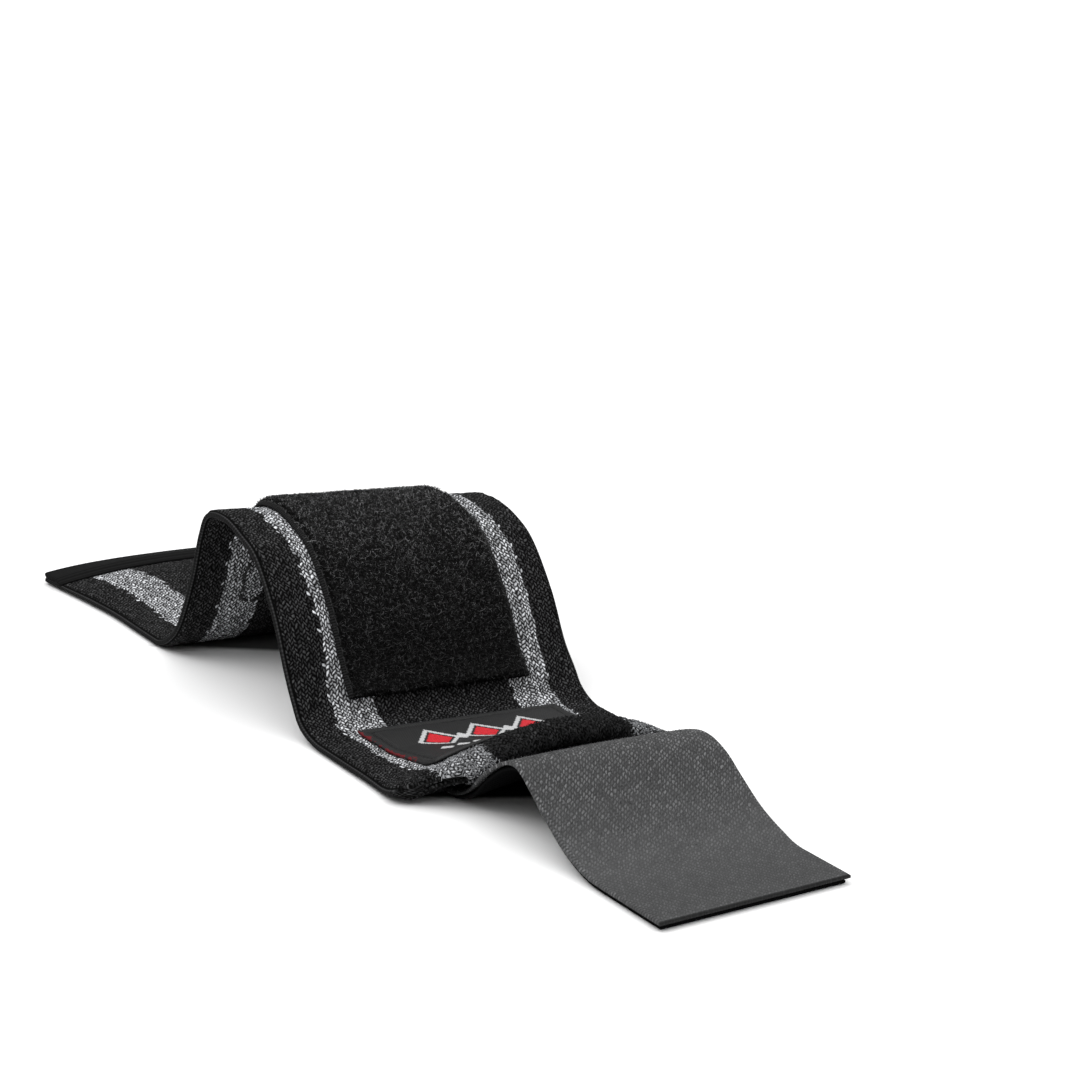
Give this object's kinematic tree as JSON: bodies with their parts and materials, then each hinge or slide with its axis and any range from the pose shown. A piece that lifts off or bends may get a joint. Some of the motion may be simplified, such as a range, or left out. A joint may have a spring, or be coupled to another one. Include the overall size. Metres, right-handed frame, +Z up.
{
  "type": "wrist wrap",
  "caption": "Striped elastic wrist wrap lying in waves, with a loop panel, a sewn label and a hook-tape tab at its tapered end.",
  "frame": {"origin": "centre of the bounding box's bottom, on the surface that the wrap lies on", "axes": "+X from the hemmed end to the tip of the tab, +Y across the strap, +Z up"},
  "size_m": [0.2682, 0.08, 0.0453],
  "materials": {
    "elastic_knit": "ribbed elastic knit, black with two grey stripes",
    "loop_pile": "brushed loop pile",
    "woven_label": "satin weave with red and light grey threads",
    "hook_tape": "grey hook tape",
    "backing_cloth": "plain black cloth"
  },
  "bodies": {
    "root": {"strap": "elastic_knit", "loop_panel": "loop_pile", "label": "woven_label", "hook_tape": "hook_tape", "tab_backing": "backing_cloth"}
  },
  "joints": []
}
